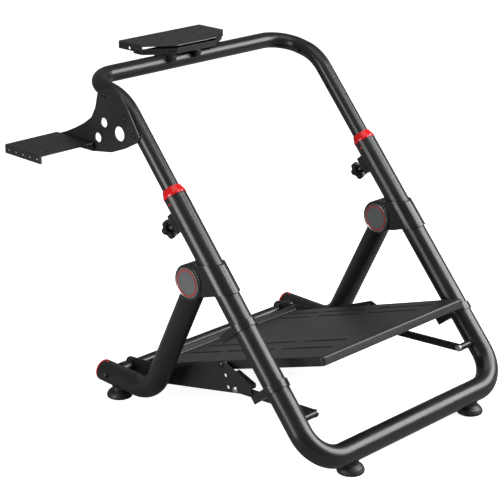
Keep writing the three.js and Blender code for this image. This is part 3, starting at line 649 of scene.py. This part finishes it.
def shifter_plate():
    curve = [(-0.634, 0.709), (-0.642, 0.678), (-0.657, 0.652), (-0.682, 0.635), (-0.712, 0.619),
             (-0.745, 0.604)]
    outline = [(-0.770, 0.584, 0.002), (-0.700, 0.5755, 0.02), (-0.656, 0.5765, 0.03),
               (-0.592, 0.5865, 0.05), (-0.549, 0.603, 0.05), (-0.506, 0.625, 0.004),
               (-0.500, 0.637, 0.006), (-0.535, 0.690, 0.04), (-0.562, 0.7205, 0.03),
               (-0.592, 0.727, 0.03), (-0.628, 0.7155, 0.004)]
    outline += [(u, v, 0.03) for u, v in curve] + [(-0.770, 0.595, 0.002)]
    outline = rounded(outline, 0.01, 6, True)
    holes = [circle((-0.615, 0.648), 0.0105), circle((-0.6365, 0.611), 0.0105),
             circle((-0.565, 0.633), 0.016, 40)]
    x = LEG_X + TUBE_HIGH + GAP + SHEET / 2
    obj = to_object("shifter_bracket", side_sheet("plate", outline, holes, x))
    piece(obj, LOOK["sheet"], "black_paint", "shifter_side_plate")
    for i, place in enumerate(SHIFTER_BOLTS, 1):
        parts = bolt_parts(x + SHEET / 2 + GAP, LEG_X - TUBE_HIGH - GAP, place)
        bolt = to_object(f"shifter_bolt_{i}", joined(parts))
        piece(bolt, LOOK["steel"], "black_steel", f"shifter_plate_bolt_{i}")


# ---------------------------------------------------------------- shifter tray and wheel deck

TRAY = ((0.3235, -0.775), (0.468, -0.647))
TRAY_Z = 0.598
TRAY_BOLTS = ((-0.664, 0.587), (-0.700, 0.587))
SHIFTER_X = LEG_X + TUBE_HIGH + GAP
DECK_Z = 0.769
DECK_HALF, DECK_LIP = 0.127, 0.017
EAR_X = DECK_HALF - SHEET - GAP
DECK_HOLES = ((0.050, -0.731), (0.055, -0.695), (0.080, -0.770), (0.080, -0.748),
              (0.030, -0.770), (0.030, -0.690), (0.100, -0.760))


def level(z):
    return Matrix.Translation((0, 0, z))


def pan(name, outline, hollow, top, lip, bend):
    """A folded tray: its edges roll over into lips that reach down from its top."""
    depth, room = lip + 0.01, lip + 0.03
    shell = sheet_metal("shell", outline, [], 2 * depth, level(top - depth), bend)
    inner = sheet_metal("inner", hollow, [], 2 * room, level(top - SHEET - room), bend - 0.002)
    obj = to_object(name, shell)
    boolean(obj, inner)
    boolean(obj, block((-1, -1.5, top - lip - 0.2), (1, 0.5, top - lip)))
    return obj


def shifter_tray():
    (x1, y1), (x2, y2) = TRAY
    outline = rounded([(x1, y1), (x2, y1), (x2, y2), (x1, y2)], 0.006, 5, True)
    hollow = [(x1 + SHEET, y1 - 0.03), (x2 - SHEET, y1 - 0.03),
              (x2 - SHEET, y2 + 0.03), (x1 + SHEET, y2 + 0.03)]
    obj = pan("shifter_tray_pan", outline, hollow, TRAY_Z, 0.019, 0.0025)
    middle = ((x1 + x2) / 2, (y1 + y2) / 2)
    drills = []
    for along in (-0.36, -0.12, 0.12, 0.36):
        for across in (-0.3, 0.3):
            u, v = middle[0] + across * (x2 - x1), middle[1] + along * (y2 - y1)
            drills.append(rod((u, v, TRAY_Z - 0.01), (u, v, TRAY_Z + 0.01), SCREW_BORE, 24))
    for place in TRAY_BOLTS:
        drills.append(rod(at(0.30, place), at(0.34, place), HINGE_BORE, 24))
    z = TRAY_Z - 0.011
    for y in (-0.76, -0.735, -0.711, -0.687, -0.662):
        drills.append(rod((x2 - 0.01, y, z), (x2 + 0.01, y, z), 0.0028, 24))
    boolean(obj, joined(drills))
    piece(obj, LOOK["sheet"], "black_paint", "shifter_tray")
    for i, place in enumerate(TRAY_BOLTS, 1):
        parts = bolt_parts(x1 + SHEET + GAP, SHIFTER_X - GAP, place)
        bolt = to_object(f"tray_bolt_{i}_fine", joined(parts))
        piece(bolt, LOOK["steel"], "black_steel", f"tray_bolt_{i}")


def chamfered_plan(side, back, shoulder, front, front_half, corner):
    """A rectangle whose front corners are cut off, as seen from above."""
    points = [(-side, back), (side, back), (side, shoulder),
              (front_half, front), (-front_half, front), (-side, shoulder)]
    return rounded(points, corner, 5, True)


def bracket_plan(inset, back, corner):
    slope = inset * 0.6
    return chamfered_plan(EAR_X - inset, back, -0.712 - slope, -0.667 - inset, 0.059 - slope, corner)


def deck_plan(inset, corner):
    slope = inset * 0.6
    return chamfered_plan(DECK_HALF - inset, -0.793 + inset, -0.710 - slope, -0.664 - inset,
                          0.061 - slope, corner)


def deck_bracket():
    """A plate on the crossbar with a wall at its front and sides, two ears and three saddles."""
    floor = CROSSBAR.z + TUBE_HIGH + GAP
    plate = bracket_plan(0, -0.746, 0.004)
    obj = to_object("deck_bracket_fine", sheet_metal("base", plate, [], SHEET, level(floor + SHEET / 2)))
    height = DECK_Z - 0.009 - floor
    wall = to_object("wall", sheet_metal("wall", plate, [], height, level(floor + height / 2)))
    boolean(wall, sheet_metal("room", bracket_plan(SHEET, -0.760, 0.003), [], 0.1, level(floor)))
    boolean(obj, as_bmesh(wall), "UNION")
    top = DECK_Z - 0.005
    ear = rounded([(-0.762, floor, 0.001), (-0.714, floor, 0.001), (-0.714, top, 0.004),
                   (-0.738, top, 0.01), (-0.760, top - 0.007, 0.008)], 0.003, 6, True)
    for side in (1, -1):
        boolean(obj, side_sheet("ear", ear, [], side * (EAR_X - SHEET / 2)), "UNION")
    saddle = rounded([(-0.725, floor + 0.001), (-0.655, floor + 0.001), (-0.662, CROSSBAR.z + 0.004),
                      (-0.718, CROSSBAR.z + 0.004)], 0.003, 4, True)
    for x in (-0.075, 0, 0.075):
        boolean(obj, side_sheet("saddle", saddle, [], x, 0.012), "UNION")
    boolean(obj, rod(at(-FAR, CROSSBAR), at(FAR, CROSSBAR), TUBE_HIGH + GAP, 96))
    boolean(obj, rod(at(-FAR, DECK_HINGE), at(FAR, DECK_HINGE), HINGE_BORE, 24))
    piece(obj, LOOK["sheet"], "black_paint", "deck_bracket")


def wheel_deck():
    """A pan that is open at its front, with its screw holes and two hinge holes in each side."""
    obj = pan("wheel_deck_pan", deck_plan(0, 0.007), deck_plan(SHEET, 0.005), DECK_Z, DECK_LIP, 0.0028)
    boolean(obj, block((-FAR, -0.712, DECK_Z - 0.04), (FAR, -0.6, DECK_Z - SHEET)))
    drills = []
    for u, v in DECK_HOLES:
        for side in (1, -1):
            drills.append(rod((side * u, v, DECK_Z - 0.01), (side * u, v, DECK_Z + 0.01), SCREW_BORE, 24))
    for place in (DECK_HINGE, (-0.753, DECK_HINGE.z)):
        drills.append(rod(at(-FAR, place), at(FAR, place), HINGE_BORE, 32))
    boolean(obj, joined(drills))
    piece(obj, LOOK["sheet"], "black_paint", "wheel_deck")
    for side, name in SIDES:
        parts = bolt_parts(side * (DECK_HALF + GAP), side * (EAR_X - SHEET - GAP), DECK_HINGE)
        bolt = to_object(f"deck_bolt_{name}", joined(parts))
        piece(bolt, LOOK["steel"], "black_steel", f"deck_hinge_bolt_{name}")


# ---------------------------------------------------------------- legs

LEG_END_Y = -0.665
REAR_FOOT_Y = -0.6155
SNAP_IN = 0.010
CROSS_TUBE_R, CROSS_TUBE_BORE = 0.0125, 0.0103
LEG_DOWN = Vector((0, -math.sin(LEG_RAKE), -math.cos(LEG_RAKE)))


def leg(side, name):
    """A bent tube with a round knuckle at the hub, drilled for the axle and the plug's snap."""
    x = side * LEG_X
    hub = at(x, HUB)
    corner = hub + LEG_DOWN * ((HUB.z - BAR_Z) / math.cos(LEG_RAKE))
    end = Vector((x, LEG_END_Y, BAR_Z))
    path = [hub + LEG_DOWN * 0.005, corner, end]
    obj = to_object(f"leg_{name}", tube(path, [0.080], TUBE_LOW, TUBE_LOW - WALL, 72))
    knuckle = to_object("knuckle", rod(hub - X * TUBE_LOW, hub + X * TUBE_LOW, TUBE_LOW, 96, 0.001))
    boolean(knuckle, rod(hub - LEG_DOWN * 0.04, hub + LEG_DOWN * 0.045, TUBE_LOW, 96), "INTERSECT")
    boolean(obj, as_bmesh(knuckle), "UNION")
    snap = end + Vector((0, SNAP_IN, 0))
    drills = [rod(hub - X * 0.04, hub + X * 0.04, AXLE_R + GAP, 32),
              rod(snap, snap + Vector((0, 0, 0.03)), 0.0032, 24)]
    boolean(obj, joined(drills))
    shade(obj.data)
    piece(obj, LOOK["paint"], "black_paint", f"leg_tube_{name}")


def leg_plug(side, name):
    """A red end plug: a sleeve in the tube, a proud rim and a shallow dish, with a snap on top."""
    start = Vector((side * LEG_X, LEG_END_Y + 0.020, BAR_Z))
    sleeve = TUBE_LOW - WALL - GAP
    profile = [(0, 0.008), (sleeve - 0.004, 0.008), (sleeve - 0.004, 0), (sleeve, 0), (sleeve, 0.0203),
               (TUBE_LOW, 0.0203), (TUBE_LOW, 0.024, 0.002), (TUBE_LOW - 0.002, 0.025, 0.001),
               (0.0195, 0.025), (0.0185, 0.0235), (0, 0.0235)]
    button = Vector((side * LEG_X, LEG_END_Y + SNAP_IN, BAR_Z + sleeve - 0.003))
    height = TUBE_LOW - sleeve + 0.0038
    snap = [(0, 0), (0.0028, 0), (0.0028, height, 0.0012), (0, height + 0.0004)]
    parts = [turned(start, (0, -1, 0), profile, 72), turned(button, (0, 0, 1), snap, 24)]
    obj = to_object(f"leg_end_plug_{name}", joined(parts))
    piece(obj, LOOK["red"], "red_plastic", f"leg_plug_{name}")


def cross_tube():
    """The tube between the legs, with a bell at each end that is cut to the leg, and its end bolts."""
    inner, over, bore = LEG_X - TUBE_LOW, 0.003, CROSS_TUBE_BORE
    length = 2 * (inner + over)
    profile = [(bore, 0), (CROSS_TUBE_R, 0), (CROSS_TUBE_R, length), (bore, length)]
    obj = to_object("rear_cross_tube", turned(at(-inner - over, CROSS), X, profile, 64))
    bell = [(bore, -0.004), (0.016, -0.004), (0.016, 0.0155), (0.0148, 0.018), (bore, 0.018)]
    for side in (1, -1):
        boolean(obj, turned(at(side * inner, CROSS), X * -side, bell, 64), "UNION")
    saddles = []
    for side in (1, -1):
        saddles.append(rod((side * LEG_X, -0.56, BAR_Z), (side * LEG_X, -0.68, BAR_Z), TUBE_LOW + GAP, 96))
    boolean(obj, joined(saddles))
    piece(obj, LOOK["paint"], "black_paint", "cross_tube")
    washer = [(0, 0), (0.0075, 0), (0.0075, 0.001), (0, 0.001)]
    for side, name in SIDES:
        outer = side * (LEG_X + TUBE_LOW + GAP)
        parts = [rod(at(side * (inner - 0.014), CROSS), at(outer, CROSS), BOLT_R),
                 turned(at(outer, CROSS), X * side, washer, 48, 0.0003),
                 hexagon(at(outer + side * 0.0009, CROSS), X * side, 0.0122, 0.0041)]
        bolt = to_object(f"leg_end_bolt_{name}", joined(parts))
        piece(bolt, LOOK["steel"], "black_steel", f"leg_bolt_{name}")


# ---------------------------------------------------------------- pedal deck

PLATE_BOLT = (-0.337, 0.1482)
TILT_HOLES = ((-0.3237, 0.1268), (-0.3158, 0.1014))
SIDE_PLATE_X = 0.2424
PLATE_HALF, PLATE_LENGTH, PLATE_LIP, HEEL_LIP = 0.2295, 0.538, 0.0195, 0.013
PLATE_FRONT = Vector((0, -0.057, 0.2485))
PLATE_SLOPE = math.atan(0.3435)
STRUT_T = 0.005
SLOT_HALF = 0.0035
BOLT_DOME = [(0, 0), (0.008, 0), (0.008, 0.0009), (0.0072, 0.001), (0.0068, 0.0032, 0.002),
             (0.004, 0.0045, 0.0012), (0.0024, 0.0045), (0.0024, 0.002), (0, 0.002)]
BOLT_CAP = [(0, 0), (0.008, 0), (0.008, 0.001), (0.0074, 0.0026, 0.003), (0.005, 0.0042, 0.003),
            (0, 0.0045)]
PEDAL_SLOTS = (
    (0.149, ((0.048, 0.205), (0.225, 0.384), (0.400, 0.520))),
    (0.092, ((0.060, 0.190), (0.215, 0.345), (0.385, 0.510))),
    (-0.143, ((0.060, 0.215), (0.240, 0.380), (0.400, 0.510))),
    (-0.184, ((0.048, 0.215), (0.255, 0.395), (0.415, 0.520))),
)


def side_plate(side, name):
    """An arm from the cross tube to the struts, with a flange that turns in under the pedal plate."""
    round_end = arc((CROSS.y, CROSS.z), 0.022, 90, 270, 28)
    arm = rounded([round_end[-1], (-0.574, 0.036, 0.03), (-0.5115, 0.0453, 0.05), (-0.244, 0.106, 0.002),
                   (-0.244, 0.1293, 0.002), (-0.331, 0.1584, 0.012), (-0.3355, 0.1593, 0.012),
                   (-0.489, 0.094, 0.06), (-0.574, 0.080, 0.03), round_end[0]], 0.01, 8)
    outline = round_end[:-1] + [tuple(point) for point in arm[:-1]]
    x = side * (SIDE_PLATE_X + SHEET / 2)
    bolts = ((ELBOW.y, ELBOW.z), PLATE_BOLT, *TILT_HOLES, (TILT.y, TILT.z))
    holes = [circle(place, BOLT_BORE) for place in bolts]
    holes.append(circle((CROSS.y, CROSS.z), CROSS_TUBE_R + GAP, 48))
    obj = to_object(f"pedal_arm_{name}", side_sheet("arm", outline, holes, x))
    flange = rounded([(-0.294, 0.146, 0), (-0.247, 0.1303, 0), (-0.244, 0.1293, 0.002),
                      (-0.244, 0.1195, 0.0005), (-0.247, 0.1195, 0.0005), (-0.247, 0.127, 0.001),
                      (-0.295, 0.143, 0)], 0.001, 4, True)
    edge = sorted((side * (PLATE_HALF + 0.0015), x))
    boolean(obj, side_sheet("flange", flange, [], sum(edge) / 2, edge[1] - edge[0]), "UNION")
    piece(obj, LOOK["sheet"], "black_paint", f"pedal_side_plate_{name}")


def pedal_bolts(side, name):
    """The bolts of one side plate: the strut's, the tilt holes' and the pedal plate's pivot."""
    outer = side * (SIDE_PLATE_X + SHEET + GAP)
    out = X * side
    nut = side * (SIDE_PLATE_X - STRUT_T - 2 * GAP)
    elbow = [rod(at(nut, ELBOW), at(outer, ELBOW), BOLT_R),
             hexagon(at(nut, ELBOW), -out, 0.0125, 0.0035),
             turned(at(outer, ELBOW), out, BOLT_CAP, 48, 0.0004)]
    bolt = to_object(f"elbow_bolt_{name}_fine", joined(elbow))
    piece(bolt, LOOK["zinc"], "zinc", f"elbow_bolt_{name}")
    plate_side = side * (PLATE_HALF + GAP)
    height = [rod(at(plate_side, PLATE_BOLT), at(outer, PLATE_BOLT), BOLT_R),
              turned(at(outer, PLATE_BOLT), out, BOLT_DOME, 48, 0.0003)]
    bolt = to_object(f"tilt_bolt_{name}_fine", joined(height))
    piece(bolt, LOOK["steel"], "black_steel", f"tilt_bolt_{name}")
    pivot = [rod(at(side * (PLATE_HALF - SHEET - 0.004), TILT), at(outer, TILT), BOLT_R),
             rod(at(plate_side, TILT), at(side * (SIDE_PLATE_X - GAP), TILT), 0.008),
             turned(at(outer, TILT), out, BOLT_DOME, 48, 0.0003)]
    bolt = to_object(f"tilt_pivot_{name}_fine", joined(pivot))
    piece(bolt, LOOK["steel"], "black_steel", f"tilt_pivot_bolt_{name}")


def slot_cutter(row, ends, margin, depth):
    """Cuts one slot, margin wider all round than its real width, down to that depth."""
    near, far = ends
    half = SLOT_HALF + margin
    loop = arc((row, -near - SLOT_HALF), half, 0, 180) + arc((row, -far + SLOT_HALF), half, 180, 360)
    return sheet_metal("slot", loop, [], 2 * depth, level(0))


def pedal_plate():
    """Drawn level with its front edge at y = 0 and its top at z = 0, then turned onto its slope."""
    half, length = PLATE_HALF, PLATE_LENGTH
    outline = rounded([(-half, -length), (half, -length), (half, 0), (-half, 0)], 0.009, 6, True)
    inner = half - SHEET
    hollow = [(-inner, -length - 0.03), (inner, -length - 0.03), (inner, -SHEET), (-inner, -SHEET)]
    obj = pan("pedal_plate_fine", outline, hollow, 0, PLATE_LIP, 0.0045)
    heel = [(-length + 0.012, -SHEET, 0), (-length + 0.012, -0.0002, 0), (-length + SHEET, -0.0002, 0.006),
            (-length + SHEET, HEEL_LIP, 0.001), (-length, HEEL_LIP, 0.001), (-length, -SHEET, 0.007)]
    boolean(obj, side_sheet("heel", rounded(heel, 0.001, 8, True), [], 0, 2 * (half - 0.0005)), "UNION")
    slots = [(row, ends) for row, lengths in PEDAL_SLOTS for ends in lengths]
    for margin, depth in ((0.0009, 0.0009), (0, 0.01)):
        boolean(obj, joined([slot_cutter(row, ends, margin, depth) for row, ends in slots]))
    obj.data.transform(Matrix.Translation(PLATE_FRONT) @ Matrix.Rotation(PLATE_SLOPE, 4, "X"))
    boolean(obj, rod(at(-0.26, TILT), at(0.26, TILT), BOLT_BORE, 32))
    piece(obj, LOOK["sheet"], "black_paint", "pedal_plate")


def strut(side, name):
    """A flat strut with its pin's head, and the spacer that holds the pin to the upright."""
    half, pin_r = 0.0087, 0.005
    along = math.degrees(math.atan2(PIN.z - ELBOW.z, PIN.y - ELBOW.y))
    outline = arc((ELBOW.y, ELBOW.z), half, along + 90, along + 270, 20)
    outline += arc((PIN.y, PIN.z), half, along - 90, along + 90, 20)
    holes = [circle((ELBOW.y, ELBOW.z), BOLT_BORE), circle((PIN.y, PIN.z), pin_r + GAP)]
    x = side * (SIDE_PLATE_X - GAP - STRUT_T / 2)
    obj = to_object(f"strut_{name}_fine", side_sheet("strut", outline, holes, x, STRUT_T))
    piece(obj, LOOK["paint"], "black_paint", f"strut_{name}")
    head = [(0, 0), (0.0085, 0), (0.0085, 0.0012), (0.0078, 0.0035), (0.0035, 0.0037), (0, 0.0037)]
    start = at(side * (SIDE_PLATE_X - GAP - STRUT_T), PIN)
    parts = [turned(start, X * -side, head, 48),
             rod(start, at(side * (SIDE_PLATE_X - GAP), PIN), pin_r, 32)]
    piece(to_object(f"strut_pin_head_{name}", joined(parts)), LOOK["zinc"], "zinc", f"strut_{name}")
    ends = at(side * SIDE_PLATE_X, PIN), at(side * (LEG_X - 0.0235), PIN)
    spacer = to_object(f"strut_spacer_{name}", rod(*ends, 0.008, 48))
    boolean(spacer, rod(on_upright(side, 0.028), on_upright(side, 0.180), TUBE_LOW + GAP, 96))
    ends = at(side * (SIDE_PLATE_X + 0.001), PIN), at(side * (LEG_X - 0.020), PIN)
    boolean(spacer, rod(*ends, pin_r, 32), "UNION")
    piece(spacer, LOOK["steel"], "black_steel", f"strut_pin_{name}")


# ---------------------------------------------------------------- studio

WORLD_SHOWN, WORLD_LIT = 1.0, 0.2
FLOOR_SHOWN, FLOOR_LIT, FLOOR_GLOW = 0.9, 0.34, 0.85
CAMERA_AT = Vector((2.3273, 2.29545, 1.5402))
CAMERA_BACK = Vector((0.66274, 0.66663, 0.34112))
LENS_MM, SENSOR_MM = 113.46, 36


def softbox(name, place, target, width, height, radiance):
    """A rectangular light at place that faces its target, as bright as radiance from any distance."""
    light = bpy.data.lights.new(name, "AREA")
    light.shape = "RECTANGLE"
    light.size, light.size_y = width, height
    light.energy = radiance * math.pi * width * height
    obj = bpy.data.objects.new(name, light)
    obj.location = place
    obj.rotation_euler = (Vector(target) - Vector(place)).to_track_quat("-Z", "Y").to_euler()
    bpy.context.scene.collection.objects.link(obj)


def shown_or_lit(tree, shown, lit):
    """A shader that looks one way to the camera and another to the light in the room."""
    path = tree.nodes.new("ShaderNodeLightPath")
    mix = tree.nodes.new("ShaderNodeMixShader")
    tree.links.new(path.outputs["Is Camera Ray"], mix.inputs["Fac"])
    tree.links.new(lit, mix.inputs[1])
    tree.links.new(shown, mix.inputs[2])
    return mix.outputs["Shader"]


def room():
    world = bpy.data.worlds.new("studio")
    bpy.context.scene.world = world
    world.use_nodes = True
    tree = world.node_tree
    shades = []
    for strength in (WORLD_SHOWN, WORLD_LIT):
        node = tree.nodes.new("ShaderNodeBackground")
        node.inputs["Color"].default_value = (1, 1, 1, 1)
        node.inputs["Strength"].default_value = strength
        shades.append(node.outputs["Background"])
    tree.links.new(shown_or_lit(tree, *shades), tree.nodes["World Output"].inputs["Surface"])


def floor():
    bpy.ops.mesh.primitive_plane_add(size=30)
    obj = bpy.context.object
    obj.name = "studio_floor"
    made = bpy.data.materials.new("pale_floor")
    made.use_nodes = True
    tree = made.node_tree
    shades = []
    for albedo in (FLOOR_SHOWN, FLOOR_LIT):
        node = tree.nodes.new("ShaderNodeBsdfDiffuse")
        node.inputs["Color"].default_value = (albedo, albedo, albedo, 1)
        shades.append(node.outputs["BSDF"])
    glow = tree.nodes.new("ShaderNodeEmission")
    glow.inputs["Strength"].default_value = FLOOR_GLOW
    both = tree.nodes.new("ShaderNodeAddShader")
    tree.links.new(glow.outputs["Emission"], both.inputs[0])
    tree.links.new(shades[0], both.inputs[1])
    surface = shown_or_lit(tree, both.outputs["Shader"], shades[1])
    tree.links.new(surface, tree.nodes["Material Output"].inputs["Surface"])
    obj.data.materials.append(made)


def camera():
    data = bpy.data.cameras.new("camera")
    data.lens, data.sensor_width = LENS_MM, SENSOR_MM
    obj = bpy.data.objects.new("camera", data)
    obj.location = CAMERA_AT
    obj.rotation_euler = CAMERA_BACK.normalized().to_track_quat("Z", "Y").to_euler()
    bpy.context.scene.collection.objects.link(obj)
    bpy.context.scene.camera = obj


def studio():
    room()
    floor()
    camera()
    bpy.context.scene.view_settings.view_transform = "Standard"
    middle = (-0.05, 0, 0.4)
    softbox("left_softbox", (3.0, -0.35, 0.75), middle, 1.2, 2.0, 8)
    softbox("right_softbox", (-0.9, 2.0, 2.7), middle, 0.7, 1.6, 9)
    softbox("high_softbox", (-2.0, 1.7, 1.75), middle, 2.0, 1.6, 9)
    softbox("top_softbox", (0.3, 0.3, 3.4), middle, 2.5, 2.5, 1.2)


lower_frame()
for side, name in SIDES:
    collar(side, name)
    knob_boss(side, name)
    clamp_knob(side, name)
    hinge_bracket(side, name)
    hinge_caps(side, name)
    storage_clip(side, LOW_CLIP_S, f"low_{name}")
    bumper_screw(side, name)
    foot(f"front_rubber_foot_{name}", f"front_foot_{name}", side * 0.199, 0, X)
    leg(side, name)
    leg_plug(side, name)
    foot(f"rear_rubber_foot_{name}", f"rear_foot_{name}", side * LEG_X, REAR_FOOT_Y, Vector((0, 1, 0)))
    side_plate(side, name)
    pedal_bolts(side, name)
    strut(side, name)
storage_clip(1, HIGH_CLIP_S, "high_right")
upper_frame()
shifter_plate()
shifter_tray()
deck_bracket()
wheel_deck()
cross_tube()
pedal_plate()
studio()
